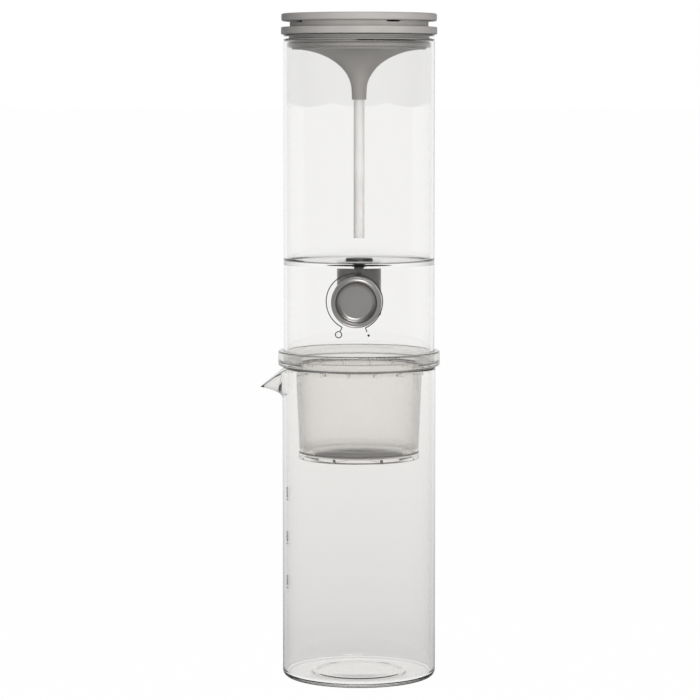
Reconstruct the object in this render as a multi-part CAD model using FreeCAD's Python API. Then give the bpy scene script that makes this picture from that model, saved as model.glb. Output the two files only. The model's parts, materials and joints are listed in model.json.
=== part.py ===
"""A slow-drip cold brew coffee maker: a water tank over a coffee cup over a spouted carafe.

The carafe stands on the table. The coffee cup hangs in the carafe's mouth from a thick collar, and its
base holds a steel filter. The water tank is a clear tube with a floor part way up; its lower end is a
skirt that stands in the collar. A metal drip valve hangs from the tank floor, and a dished knob on the
front of the skirt turns its needle. The lid plugs the tank, and a trumpet under it carries the air tube
that keeps the drip rate steady as the water falls.

Millimetres. +Z is up, the knob faces -Y, the spout points to -X, and the origin is the middle of the
carafe's underside.
"""

import FreeCAD, Part
import math
import os

from FreeCAD import Vector

os.makedirs("parts", exist_ok=True)

# Carafe
carafe_outer_r = 45.0
carafe_wall = 2.2
carafe_floor = 2.4
carafe_height = 183.2
carafe_corner_r = 3.4
carafe_inner_corner_r = 2.2
floor_ring_r = 26.0
floor_ring_width = 3.0
floor_ring_height = 0.5
spout_reach = 13.8
spout_drop = 12.0
spout_depth = 18.4
spout_half_angle = 25.0
spout_out_power = 1.6
spout_down_power = 1.15
spout_taper_power = 3.0

# Printed marks
print_thickness = 0.08
print_bite = 0.1
mark_volumes_ml = (300, 450, 600)
mark_azimuth = 67.0
mark_tick_width = 3.2
mark_stroke = 0.42
mark_digit_height = 2.5
mark_digit_width = 1.5
mark_digit_pitch = 2.15
mark_digit_gap = 1.3
dial_line_width = 0.55
dial_gap_to_knob = 1.8
dial_shift_x = -1.5
dial_shift_z = -0.4
dial_open_angle = 25.5
dial_shut_angle = 23.0
dial_tick_length = 2.6
dial_ring_r = 1.8
dial_dot_r = 0.7
dial_symbol_gap = 2.2

# Coffee cup
collar_rim_wall = 2.9
collar_height = 8.6
collar_plate = 3.4
collar_edge_r = 1.0
skirt_clearance = 0.3
cup_depth = 50.6
cup_top_outer_r = 37.2
cup_bottom_outer_r = 35.0
cup_wall = 1.8
seal_thickness = 1.0
seal_inner_gap = 0.4
seal_rim_gap = 0.1
rib_count = 16
rib_first_azimuth = 15.1
rib_thickness = 1.2
rib_height = 4.0
rib_clearance = 0.5

# Cup base and filter
base_height = 3.6
base_plate = 2.2
base_outer_r = 35.5
base_edge_r = 0.6
base_spigot_height = 3.0
base_spigot_wall = 1.5
base_spigot_clearance = 0.1
base_gasket = 0.6
filter_window_r = 24.0
filter_seat = 2.2
filter_thickness = 0.4
filter_clearance = 0.15
filter_hole_r = 0.7
filter_hole_pitch = 3.0
spoke_count = 6
spoke_width = 1.6
spoke_hub_r = 3.5

# Water tank
tank_outer_r = 44.3
tank_wall = 2.0
skirt_height = 55.8
tank_floor = 2.4
tank_depth = 128.2
tank_rim_r = 0.9
tank_fillet_r = 1.5
boss_r = 9.0
boss_height = 8.0
inlet_r = 3.0
strainer_r = 8.0
strainer_height = 1.2
strainer_rim = 1.6
strainer_skin = 0.4
strainer_bevel = 0.6
strainer_stub = 2.0
strainer_stub_wall = 0.7
strainer_hole_r = 0.45
strainer_hole_pitch = 1.6
strainer_clearance = 0.1

# Drip valve
valve_r = 13.0
valve_height = 30.6
valve_edge = 1.2
valve_spot_face = 1.6
spot_face_clearance = 0.3
valve_axis_below_floor = 18.6
thread_clearance = 0.05
valve_seal_height = 1.2
valve_seal_width = 1.4
passage_r = 1.6
passage_offset = 5.2
chamber_r = 3.2
chamber_end = 3.2
seat_r = 2.6
seat_thickness = 1.6
orifice_r = 0.8
seat_passage_r = 1.2
outlet_bore_above_axis = 1.4
inlet_bore_above_axis = 1.0
nozzle_thread_r = 3.0
nozzle_thread_length = 4.0
nozzle_flange_r = 4.6
nozzle_flange = 1.4
nozzle_taper = 1.9
nozzle_tip_r = 1.5
nozzle_bore_r = 0.9
nozzle_washer = 0.6

# Bonnet, needle and stem
bonnet_thread_r = 4.5
bonnet_thread_length = 4.8
bonnet_flange_r = 6.6
bonnet_flange = 3.0
bonnet_edge = 0.6
bonnet_washer = 0.6
arm_r = 4.6
needle_thread_r = 2.9
needle_thread_length = 6.0
needle_shank_r = 1.9
needle_shank_length = 4.6
needle_tip_clearance = 0.06
needle_tip_root = 0.4
needle_point_length = 1.5
needle_socket = 2.6
needle_socket_depth = 3.6
needle_run = 2.2
stem_r = 2.0
stem_clearance = 0.05
stem_square = 2.4
stem_square_length = 2.2
stem_square_root = 0.2
stem_end_gap = 0.3
packing_r = 3.3
packing_width = 1.8
packing_setback = 5.0
circlip_r = 3.2
circlip_thickness = 0.6
circlip_groove = 0.4
circlip_gap = 1.6
circlip_pocket_r = 3.7
circlip_play = 0.15
arm_end_gap = 4.3

# Wall bush
bush_r = 7.0
bush_hole_clearance = 0.2
bush_flange_r = 11.0
bush_flange = 2.0
bush_edge = 0.5
nut_r = 10.4
nut_thickness = 3.4

# Knob
knob_r = 14.4
knob_depth = 11.0
knob_gap = 0.6
knob_edge = 0.5
knob_rim_width = 2.6
knob_recess = 2.8
knob_hub_r = 6.0
knob_shell_wall = 2.0
knob_front_wall = 2.4
knurl_count = 60
knurl_r = 0.38
knurl_start = 1.6
knurl_end = 2.2
face_clearance = 0.1
face_edge_height = 2.4
face_centre_thickness = 0.8
face_lip = 0.5
face_flat_r = 8.7
face_slope_bow = 0.3
screw_r = 1.5
screw_length = 4.0
screw_socket = 1.4
screw_socket_depth = 1.6
screw_off_middle = 0.6
stem_in_knob = 6.5

# Lid
lid_disc_overhang = 1.0
lid_disc = 4.4
lid_disc_edge_r = 1.0
neck_over_plug = 2.4
neck_height = 3.4
neck_wall = 2.4
flange_overhang = 1.2
flange = 4.3
flange_edge_r = 0.8
flange_above_rim = 3.4
plug_depth = 8.6
plug_wall = 1.8
plug_lip_reach = 1.2
plug_lip = 1.0
cap_ledge = 2.0
vent_count = 4
vent_width = 9.0
vent_height = 1.0
vent_first_azimuth = 31.0
tongue_wall = 2.1
tongue_clearance = 0.1
tongue_gap_width = 13.0
tongue_gap_spare = 2.0
gasket_wall = 3.0
gasket_bead_reach = 0.95
gasket_bead_height = 3.0
gasket_bead_bevel = 0.6
gasket_bead_slope = 0.8
gasket_tank_gap = 0.35
gasket_rim_gap = 0.3
fin_reach = 3.0
fin_root = 0.9
fin_tip = 0.4
fin_spacing = 2.2
trumpet_length = 29.2
trumpet_socket_length = 5.2
trumpet_neck_r = 4.4
trumpet_neck_draft = 0.2
trumpet_wall = 1.5
throat_cleared = 1.0
tube_outer_r = 3.1
tube_wall = 0.9
tube_length = 86.0
tube_clearance = 0.05

# Levels and radii that follow from the sizes above
carafe_inner_r = carafe_outer_r - carafe_wall
collar_bottom = carafe_height + seal_rim_gap + seal_thickness
skirt_seat = collar_bottom + collar_plate
collar_top = collar_bottom + collar_height
collar_bore_r = tank_outer_r + skirt_clearance
collar_outer_r = collar_bore_r + collar_rim_wall
cup_bottom = collar_bottom - cup_depth
base_top = cup_bottom - base_gasket
base_bottom = base_top - base_height
base_plate_top = base_bottom + base_plate
cup_inner_bottom_r = cup_bottom_outer_r - cup_wall
tank_inner_r = tank_outer_r - tank_wall
floor_under = skirt_seat + skirt_height
floor_top = floor_under + tank_floor
tank_rim = floor_top + tank_depth
valve_axis = floor_under - valve_axis_below_floor
valve_bottom = floor_under - valve_height
boss_bottom = floor_under - boss_height
counterbore_bottom = boss_bottom - valve_seal_height
seat_front = -chamber_end
valve_face = valve_spot_face - valve_r
bonnet_back = valve_face + bonnet_thread_length
bonnet_flange_back = valve_face - bonnet_washer
bonnet_flange_front = bonnet_flange_back - bonnet_flange
arm_front = -(tank_inner_r - arm_end_gap)
needle_front = seat_front - needle_tip_clearance
needle_thread_front = needle_front - needle_shank_length
needle_back = needle_thread_front - needle_thread_length
needle_bore_end = needle_back - needle_run
bush_front = -(tank_outer_r + bush_flange)
knob_back = bush_front - knob_gap
knob_front = knob_back - knob_depth
recess_floor = knob_front + knob_recess
stem_front = knob_back - stem_in_knob
screw_y = knob_back - stem_in_knob / 2 - screw_off_middle
flange_bottom = tank_rim + flange_above_rim
flange_top = flange_bottom + flange
disc_bottom = flange_top + neck_height
disc_top = disc_bottom + lid_disc
plug_bottom = flange_bottom - plug_depth
lid_disc_r = tank_outer_r + lid_disc_overhang
flange_r = tank_outer_r + flange_overhang
gasket_bead_r = tank_inner_r - gasket_tank_gap
gasket_body_r = gasket_bead_r - gasket_bead_reach
plug_r = gasket_body_r - gasket_wall
plug_lip_r = plug_r + plug_lip_reach
neck_r = plug_r + neck_over_plug
neck_inner_r = neck_r - neck_wall
plug_inner_r = plug_r - plug_wall
trumpet_end = plug_bottom - trumpet_length
tube_top = trumpet_end + trumpet_socket_length

UP = Vector(0, 0, 1)
FRONT = Vector(0, -1, 0)


def turned(points):
    """A solid turned about Z from a closed outline of (radius, height) pairs."""
    corners = [Vector(r, 0, z) for r, z in points]
    face = Part.Face(Part.makePolygon(corners + corners[:1]))
    return face.revolve(Vector(0, 0, 0), UP, 360)


def ring(inner_r, outer_r, bottom, top):
    """A flat ring, or a disc where the inner radius is 0."""
    solid = Part.makeCylinder(outer_r, top - bottom, Vector(0, 0, bottom), UP)
    if inner_r > 0:
        solid = solid.cut(Part.makeCylinder(inner_r, top - bottom, Vector(0, 0, bottom), UP))
    return solid


def rod(radius, back, front, x=0.0, z=None):
    """A rod along Y at the height of the valve's axis, from its back end to its front end."""
    height = valve_axis if z is None else z
    return Part.makeCylinder(radius, back - front, Vector(x, back, height), FRONT)


def collar_on_axis(inner_r, outer_r, back, front):
    """A ring on the valve's axis."""
    return rod(outer_r, back, front).cut(rod(inner_r, back, front))


def circles_at(solid, places, along_y=False):
    """The solid's circular edges of the given (radius, place) pairs, place being Z, or Y along the knob's axis."""
    found = []
    for edge in solid.Edges:
        curve = edge.Curve
        if not isinstance(curve, Part.Circle):
            continue
        place = curve.Center.y if along_y else curve.Center.z
        if any(abs(curve.Radius - r) < 1e-4 and abs(place - p) < 1e-4 for r, p in places):
            found.append(edge)
    return found


def round_circles(solid, radius, places, along_y=False):
    return solid.makeFillet(radius, circles_at(solid, places, along_y))


def chamfer_circles(solid, size, places, along_y=False):
    return solid.makeChamfer(size, circles_at(solid, places, along_y))


def hex_places(reach, pitch):
    """Centres of a triangular grid of holes inside a radius."""
    rows = int(reach / (pitch * math.sqrt(3) / 2)) + 1
    places = []
    for row in range(-rows, rows + 1):
        y = row * pitch * math.sqrt(3) / 2
        start = pitch / 2 if row % 2 else 0.0
        columns = int(reach / pitch) + 1
        for column in range(-columns, columns + 1):
            x = column * pitch + start
            if math.hypot(x, y) <= reach:
                places.append((x, y))
    return places


def spout_share(angle):
    """How much of the spout's pull a point of the wall takes, by its angle from the spout's middle."""
    off = abs((angle + 180.0) % 360.0 - 180.0)
    if off >= spout_half_angle:
        return 0.0
    return math.cos(math.radians(90.0 * off / spout_half_angle)) ** spout_taper_power


def wall_angles():
    """Angles round the wall from opposite the spout, close together across the spout."""
    fine = [spout_half_angle * k / 8.0 for k in range(-9, 10)]
    coarse_count = 17
    first = fine[-1]
    span = 360.0 - 2 * first
    coarse = [first + span * k / (coarse_count + 1) for k in range(1, coarse_count + 1)]
    return fine + coarse


def wall_wire(radius, level):
    """One closed curve round the carafe wall, drawn out and down where the spout is."""
    root = carafe_height - spout_depth
    v = min(max((level - root) / spout_depth, 0.0), 1.0)
    points = []
    for angle in wall_angles():
        share = spout_share(angle)
        r = radius + spout_reach * v**spout_out_power * share
        z = level - spout_drop * v**spout_down_power * share
        turn = math.radians(180.0 + angle)
        points.append(Vector(r * math.cos(turn), r * math.sin(turn), z))
    curve = Part.BSplineCurve()
    curve.interpolate(Points=points, PeriodicFlag=True)
    return Part.Wire(curve.toShape())


def corner_levels(radius, corner_r, bottom):
    """(radius, level) pairs up a rounded corner between a floor and a wall."""
    steps = 6
    return [
        (
            radius - corner_r + corner_r * math.sin(math.radians(90.0 * k / steps)),
            bottom + corner_r - corner_r * math.cos(math.radians(90.0 * k / steps)),
        )
        for k in range(steps + 1)
    ]


def carafe_glass():
    root = carafe_height - spout_depth
    rim_r = carafe_wall / 2
    shares = (0.0, 0.12, 0.25, 0.4, 0.55, 0.7, 0.85)
    spout_levels = [root + (spout_depth - rim_r) * s for s in shares]
    outer_corner = [wall_wire(r, z) for r, z in corner_levels(carafe_outer_r, carafe_corner_r, 0.0)]
    inner_corner = [
        wall_wire(r, z) for r, z in corner_levels(carafe_inner_r, carafe_inner_corner_r, carafe_floor)
    ]
    outer_spout = [wall_wire(carafe_outer_r, z) for z in spout_levels]
    inner_spout = [wall_wire(carafe_inner_r, z) for z in spout_levels]
    rim = []
    rim_steps = 6
    for k in range(rim_steps + 1):
        turn = math.radians(180.0 * k / rim_steps)
        r = carafe_outer_r - rim_r + rim_r * math.cos(turn)
        rim.append(wall_wire(r, carafe_height - rim_r + rim_r * math.sin(turn)))
    outer_spout.append(rim[0])
    inner_spout.append(rim[-1])
    shells = [
        Part.makeLoft(outer_corner, False, False),
        Part.makeLoft([outer_corner[-1], outer_spout[0]], False, True),
        Part.makeLoft(outer_spout, False, False),
        Part.makeLoft(rim, False, False),
        Part.makeLoft(inner_spout, False, False),
        Part.makeLoft([inner_corner[-1], inner_spout[0]], False, True),
        Part.makeLoft(inner_corner, False, False),
    ]
    faces = [face for shell in shells for face in shell.Faces]
    faces.append(Part.Face(outer_corner[0]))
    faces.append(Part.Face(inner_corner[0]))
    shell = Part.makeShell(faces)
    shell.sewShape()
    solid = Part.makeSolid(shell)
    if solid.Volume < 0:
        solid.reverse()
    half = floor_ring_width / 2
    bead = turned(
        [
            (floor_ring_r - half, carafe_floor - half),
            (floor_ring_r + half, carafe_floor - half),
            (floor_ring_r + half, carafe_floor),
            (floor_ring_r + half / 2, carafe_floor + floor_ring_height),
            (floor_ring_r - half / 2, carafe_floor + floor_ring_height),
            (floor_ring_r - half, carafe_floor),
        ]
    )
    return solid.fuse(bead)


def stroke(points, width, depth, closed=False):
    """A pen stroke with round ends through points of a drawing plane, as a solid of the given depth."""
    blocks = [Part.makeCylinder(width / 2, depth, Vector(x, y, 0), UP) for x, y in points]
    pairs = list(zip(points, points[1:]))
    if closed:
        pairs.append((points[-1], points[0]))
    for (ax, ay), (bx, by) in pairs:
        block = Part.makeBox(math.hypot(bx - ax, by - ay), width, depth, Vector(0, -width / 2, 0))
        turn = math.degrees(math.atan2(by - ay, bx - ax))
        block.Placement = FreeCAD.Placement(Vector(ax, ay, 0), FreeCAD.Rotation(UP, turn)).multiply(block.Placement)
        blocks.append(block)
    return blocks[0].multiFuse(blocks[1:])


def band(radius, width, depth, start, end):
    """Part of a flat ring in a drawing plane, between two angles in degrees."""
    full = Part.makeCylinder(radius + width / 2, depth, Vector(0, 0, 0), UP, end - start)
    hole = Part.makeCylinder(radius - width / 2, depth, Vector(0, 0, 0), UP)
    full.rotate(Vector(0, 0, 0), UP, start)
    return full.cut(hole)


def arc_points(cx, cy, rx, ry, start, end, steps):
    return [
        (
            cx + rx * math.cos(math.radians(start + (end - start) * k / steps)),
            cy + ry * math.sin(math.radians(start + (end - start) * k / steps)),
        )
        for k in range(steps + 1)
    ]


def digit_points(digit, w, h):
    """The pen path of a digit, in a box w wide and h high with its corner at the origin."""
    r = w / 2
    bowl = 0.3 * h
    if digit == "0":
        return arc_points(r, h / 2, r, h / 2, 0, 330, 11), True
    if digit == "3":
        upper = arc_points(r, h - 0.27 * h, r, 0.27 * h, 150, -60, 7)
        return upper + arc_points(r, bowl, r, bowl, 60, -150, 7), False
    if digit == "4":
        return [(0.75 * w, 0), (0.75 * w, h), (0, 0.32 * h), (w, 0.32 * h)], False
    if digit == "5":
        return [(w, h), (0.1 * w, h), (0, 0.56 * h)] + arc_points(r, bowl, r, bowl, 110, -150, 8), False
    if digit == "6":
        stem = [(0.85 * w, h), (0.3 * w, 0.75 * h), (0, 0.4 * h)]
        return stem + arc_points(r, bowl, r, bowl, 180, 500, 10), False
    raise ValueError(digit)


def on_wall(block, radius, middle_x, level):
    """A drawing, as a deep block, wrapped on the front of a round wall: x runs across, y runs up."""
    upright = FreeCAD.Placement(Vector(middle_x, 0, level), FreeCAD.Rotation(Vector(1, 0, 0), 90))
    standing = block.copy()
    standing.Placement = upright.multiply(block.Placement)
    reach = 2 * radius
    return standing.common(ring(radius - print_bite, radius + print_thickness, level - reach, level + reach))


def volume_marks():
    """A tick at each volume, with its number standing on end above it."""
    area = math.pi * carafe_inner_r**2
    depth = 2 * carafe_outer_r
    half = mark_tick_width / 2
    solids = []
    for volume in mark_volumes_ml:
        level = carafe_floor + volume * 1000.0 / area
        drawings = [stroke([(-half, 0), (half, 0)], mark_stroke, depth)]
        for place, digit in enumerate(str(volume)):
            path, closed = digit_points(digit, mark_digit_width, mark_digit_height)
            along = mark_digit_gap + place * mark_digit_pitch
            standing = [(mark_digit_height / 2 - y, along + x) for x, y in path]
            drawings.append(stroke(standing, mark_stroke, depth, closed))
        for drawing in drawings:
            mark = on_wall(drawing, carafe_outer_r, 0, level)
            mark.rotate(Vector(0, 0, 0), UP, -mark_azimuth)
            solids += mark.Solids
    return Part.makeCompound(solids).cut(carafe_glass())


def dial_print():
    """The dial's line round the knob, with a tick and a dot for the least flow, a tick and a ring for the most."""
    depth = 2 * tank_outer_r
    line_r = knob_r + dial_gap_to_knob
    symbol_r = line_r + dial_tick_length + dial_symbol_gap
    shut, full = dial_shut_angle - 90.0, 270.0 - dial_open_angle
    line = band(line_r, dial_line_width, depth, shut, full)
    for angle in (shut, full):
        tick = Part.makeBox(dial_tick_length, dial_line_width, depth, Vector(line_r, -dial_line_width / 2, 0))
        tick.rotate(Vector(0, 0, 0), UP, angle)
        line = line.fuse(tick)
    dot = Part.makeCylinder(dial_dot_r, depth, Vector(symbol_r, 0, 0), UP)
    dot.rotate(Vector(0, 0, 0), UP, shut)
    circle = band(dial_ring_r, dial_line_width, depth, 0, 360)
    circle.translate(Vector(symbol_r, 0, 0))
    circle.rotate(Vector(0, 0, 0), UP, full)
    solids = []
    for drawing in (line, dot, circle):
        solids += on_wall(drawing, tank_outer_r, dial_shift_x, valve_axis + dial_shift_z).Solids
    return Part.makeCompound(solids).cut(Part.makeCylinder(tank_outer_r, floor_under, Vector(0, 0, 0), UP))


def cup_seal():
    """The soft flat ring between the collar and the carafe's rim."""
    inner_r = carafe_inner_r - rib_clearance + seal_inner_gap
    return ring(inner_r, carafe_outer_r, collar_bottom - seal_thickness, collar_bottom)


def cup_body():
    """The collar, the hanging cup wall and the small ribs that centre it in the carafe."""
    solid = turned(
        [
            (cup_inner_bottom_r, cup_bottom),
            (cup_bottom_outer_r, cup_bottom),
            (cup_top_outer_r, collar_bottom),
            (collar_outer_r, collar_bottom),
            (collar_outer_r, collar_top),
            (collar_bore_r, collar_top),
            (collar_bore_r, skirt_seat),
            (cup_top_outer_r - cup_wall, skirt_seat),
        ]
    )
    solid = round_circles(
        solid, collar_edge_r, [(collar_outer_r, collar_bottom), (collar_outer_r, collar_top)]
    )
    reach = carafe_inner_r - rib_clearance - cup_bottom_outer_r
    ribs = []
    for k in range(rib_count):
        rib = Part.makeBox(
            reach,
            rib_thickness,
            rib_height,
            Vector(cup_bottom_outer_r, -rib_thickness / 2, collar_bottom - rib_height),
        )
        rib.rotate(Vector(0, 0, 0), UP, rib_first_azimuth - 90.0 + 360.0 * k / rib_count)
        ribs.append(rib)
    inside = turned(
        [
            (0, cup_bottom),
            (cup_inner_bottom_r, cup_bottom),
            (cup_top_outer_r - cup_wall, skirt_seat),
            (0, skirt_seat),
        ]
    )
    return solid.multiFuse(ribs).cut(inside)


def cup_base_ring():
    """The clear base that clips under the cup, with spokes under the filter."""
    spigot_r = cup_inner_bottom_r - base_spigot_clearance
    solid = turned(
        [
            (filter_window_r, base_bottom),
            (base_outer_r, base_bottom),
            (base_outer_r, base_top),
            (cup_inner_bottom_r, base_top),
            (spigot_r, base_top),
            (spigot_r, cup_bottom + base_spigot_height),
            (spigot_r - base_spigot_wall, cup_bottom + base_spigot_height),
            (spigot_r - base_spigot_wall, base_plate_top),
            (filter_window_r + filter_seat, base_plate_top),
            (filter_window_r + filter_seat, base_plate_top - filter_thickness),
            (filter_window_r, base_plate_top - filter_thickness),
        ]
    )
    solid = round_circles(solid, base_edge_r, [(base_outer_r, base_bottom)])
    spoke_top = base_plate_top - filter_thickness
    spokes = [ring(0, spoke_hub_r, base_bottom, spoke_top)]
    for k in range(spoke_count):
        bar = Part.makeBox(
            filter_window_r + filter_seat / 2,
            spoke_width,
            spoke_top - base_bottom,
            Vector(0, -spoke_width / 2, base_bottom),
        )
        bar.rotate(Vector(0, 0, 0), UP, 360.0 * k / spoke_count)
        spokes.append(bar)
    return solid.multiFuse(spokes)


def filter_mesh():
    """The steel filter disc, pierced all over its window."""
    radius = filter_window_r + filter_seat - filter_clearance
    disc = ring(0, radius, base_plate_top - filter_thickness, base_plate_top)
    low = base_plate_top - 2 * filter_thickness
    holes = [
        Part.makeCylinder(filter_hole_r, 3 * filter_thickness, Vector(x, y, low), UP)
        for x, y in hex_places(filter_window_r - filter_hole_pitch / 2, filter_hole_pitch)
    ]
    return disc.cut(Part.makeCompound(holes))


def base_gasket_ring():
    """The thin soft ring between the cup's lower edge and its base."""
    return ring(cup_inner_bottom_r, cup_bottom_outer_r, base_top, cup_bottom)


def tank_body():
    """The clear tube: tank above its floor, skirt below it, a boss for the valve and a hole for the knob."""
    solid = turned(
        [
            (inlet_r, floor_top),
            (tank_inner_r, floor_top),
            (tank_inner_r, tank_rim),
            (tank_outer_r, tank_rim),
            (tank_outer_r, skirt_seat),
            (tank_inner_r, skirt_seat),
            (tank_inner_r, floor_under),
            (boss_r, floor_under),
            (boss_r, boss_bottom),
            (inlet_r, boss_bottom),
        ]
    )
    solid = round_circles(solid, tank_rim_r, [(tank_inner_r, tank_rim), (tank_outer_r, tank_rim)])
    solid = round_circles(solid, tank_fillet_r, [(tank_inner_r, floor_top)])
    return solid.cut(rod(bush_r + bush_hole_clearance, -tank_inner_r / 2, -tank_outer_r - 1))


def inlet_strainer():
    """The low pierced cap over the inlet, with a stub that holds it in the hole."""
    stub_r = inlet_r - strainer_clearance
    room_r = strainer_r - strainer_rim
    cap_top = floor_top + strainer_height
    cap = turned(
        [
            (0, cap_top - strainer_skin),
            (room_r, cap_top - strainer_skin),
            (room_r, floor_top + strainer_skin),
            (stub_r - strainer_stub_wall, floor_top + strainer_skin),
            (stub_r - strainer_stub_wall, floor_top - strainer_stub),
            (stub_r, floor_top - strainer_stub),
            (stub_r, floor_top),
            (strainer_r, floor_top),
            (strainer_r - strainer_bevel, cap_top),
            (0, cap_top),
        ]
    )
    hole_low = cap_top - 1.5 * strainer_skin
    holes = [
        Part.makeCylinder(strainer_hole_r, 2 * strainer_skin, Vector(x, y, hole_low), UP)
        for x, y in hex_places(room_r - 2 * strainer_skin, strainer_hole_pitch)
    ]
    return cap.cut(Part.makeCompound(holes))


def valve_body():
    """The metal block under the tank floor, bored for the inlet, the needle and the outlet."""
    solid = ring(0, valve_r, valve_bottom, floor_under)
    solid = chamfer_circles(solid, valve_edge, [(valve_r, valve_bottom)])
    inlet_bottom = valve_axis + inlet_bore_above_axis
    inlet_place = Vector(0, -passage_offset, inlet_bottom)
    bores = [
        rod(bonnet_flange_r + spot_face_clearance, valve_face, -valve_r),
        ring(0, boss_r + thread_clearance, counterbore_bottom, floor_under),
        rod(bonnet_thread_r + thread_clearance, bonnet_back, -valve_r),
        rod(chamber_r, seat_front, -valve_r),
        rod(seat_r, seat_front + seat_thickness, -valve_r),
        rod(seat_passage_r, 0, -valve_r),
        ring(0, passage_r, valve_bottom, valve_axis + outlet_bore_above_axis),
        ring(0, nozzle_thread_r + thread_clearance, valve_bottom, valve_bottom + nozzle_thread_length),
        Part.makeCylinder(passage_r, counterbore_bottom - inlet_bottom, inlet_place, UP),
    ]
    for bore in bores:
        solid = solid.cut(bore)
    return solid


def valve_seal():
    """The flat seal at the bottom of the counterbore, squeezed by the tank's boss."""
    return ring(boss_r - valve_seal_width, boss_r, counterbore_bottom, boss_bottom)


def valve_seat():
    """The small plastic seat that the needle closes on."""
    return collar_on_axis(orifice_r, seat_r - thread_clearance, seat_front + seat_thickness, seat_front)


def bonnet():
    """The bonnet that screws into the block, with the long arm that carries the stem to the wall."""
    solid = rod(bonnet_thread_r, bonnet_back, bonnet_flange_back)
    solid = solid.fuse(rod(bonnet_flange_r, bonnet_flange_back, bonnet_flange_front))
    solid = solid.fuse(rod(arm_r, bonnet_flange_front, arm_front))
    solid = solid.cut(rod(needle_thread_r + thread_clearance, bonnet_back, needle_bore_end))
    solid = solid.cut(rod(stem_r + stem_clearance, bonnet_back, arm_front))
    packing_back = needle_bore_end - packing_setback
    solid = solid.cut(rod(packing_r, packing_back, packing_back - packing_width))
    solid = solid.cut(rod(circlip_pocket_r, arm_front + circlip_thickness + 2 * circlip_play, arm_front))
    return chamfer_circles(solid, bonnet_edge, [(bonnet_flange_r, bonnet_flange_front)], along_y=True)


def bonnet_washer_ring():
    return collar_on_axis(
        bonnet_thread_r + thread_clearance, bonnet_flange_r, valve_face, bonnet_flange_back
    )


def stem_packing():
    """The soft ring round the stem in the bonnet's groove."""
    packing_back = needle_bore_end - packing_setback
    return collar_on_axis(
        stem_r + stem_clearance, packing_r, packing_back, packing_back - packing_width
    )


def needle():
    """The needle: a cone that fits the seat, a shank, a threaded collar and a square socket for the stem."""
    clear = needle_tip_clearance
    tip_r = orifice_r - clear
    cone = Part.makeCone(
        tip_r, 0.0, needle_point_length, Vector(0, needle_front + clear, valve_axis), Vector(0, 1, 0)
    )
    parts = [
        cone,
        rod(tip_r, needle_front + clear, needle_front - needle_tip_root),
        rod(needle_shank_r, needle_front, needle_thread_front),
        rod(needle_thread_r, needle_thread_front, needle_back),
    ]
    solid = parts[0].multiFuse(parts[1:])
    half = needle_socket / 2
    socket = Part.makeBox(
        needle_socket,
        needle_socket_depth,
        needle_socket,
        Vector(-half, needle_back, valve_axis - half),
    )
    return solid.cut(socket).removeSplitter()


def stem():
    """The stem from the knob to the needle, square where it drives the needle."""
    square_back = needle_back + stem_square_length
    solid = rod(stem_r, needle_back - needle_run + stem_square_root, stem_front)
    half = stem_square / 2
    square = Part.makeBox(
        stem_square,
        square_back - (needle_back - needle_run),
        stem_square,
        Vector(-half, needle_back - needle_run, valve_axis - half),
    )
    solid = solid.fuse(square)
    groove_front = arm_front + circlip_play
    groove = collar_on_axis(
        stem_r - circlip_groove, stem_r + 1, groove_front + circlip_thickness, groove_front
    )
    return solid.cut(groove)


def stem_circlip():
    """The open clip in the stem's groove that keeps it from sliding."""
    clip_front = arm_front + circlip_play
    clip = collar_on_axis(
        stem_r - circlip_groove, circlip_r, clip_front + circlip_thickness, clip_front
    )
    gap_place = Vector(-circlip_gap / 2, clip_front, valve_axis - circlip_r)
    gap = Part.makeBox(circlip_gap, circlip_thickness, circlip_r, gap_place)
    return clip.cut(gap)


def wall_bush():
    """The bush through the skirt that carries the stem, with a flange shaped to the wall."""
    barrel = rod(bush_r, arm_front, bush_front)
    plate = rod(bush_flange_r, -tank_inner_r, bush_front)
    plate = plate.cut(Part.makeCylinder(tank_outer_r, tank_rim, Vector(0, 0, 0), UP))
    solid = barrel.fuse(plate).cut(rod(stem_r + stem_clearance, arm_front, bush_front))
    return chamfer_circles(solid, bush_edge, [(bush_flange_r, bush_front)], along_y=True)


def wall_nut():
    """The round nut inside the skirt that clamps the bush."""
    nut_back = -tank_inner_r + nut_thickness
    solid = collar_on_axis(bush_r + thread_clearance, nut_r, nut_back, -tank_outer_r)
    return solid.common(Part.makeCylinder(tank_inner_r, tank_rim, Vector(0, 0, 0), UP))


def knob_grip():
    """The knob: a knurled cup with a hub for the stem and a recess for its dished face."""
    solid = rod(knob_r, knob_back, knob_front)
    edges = [(knob_r, knob_back), (knob_r, knob_front)]
    solid = chamfer_circles(solid, knob_edge, edges, along_y=True)
    face_r = knob_r - knob_rim_width
    solid = solid.cut(rod(face_r, recess_floor, knob_front))
    inside_r = knob_r - knob_shell_wall
    hollow = collar_on_axis(knob_hub_r, inside_r, knob_back, recess_floor + knob_front_wall)
    solid = solid.cut(hollow)
    solid = solid.cut(rod(stem_r + stem_clearance / 2, knob_back, stem_front - stem_end_gap))
    groove_back, groove_front = knob_back - knurl_start, knob_front + knurl_end
    grooves = []
    for k in range(knurl_count):
        turn = math.radians(360.0 * (k + 0.5) / knurl_count)
        x, z = knob_r * math.cos(turn), knob_r * math.sin(turn)
        grooves.append(rod(knurl_r, groove_back, groove_front, x, valve_axis + z))
    solid = solid.cut(Part.makeCompound(grooves))
    place = Vector(0, screw_y, valve_axis)
    return solid.cut(Part.makeCylinder(screw_r + thread_clearance, knob_r + 1, place, Vector(0, 0, -1)))


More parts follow.
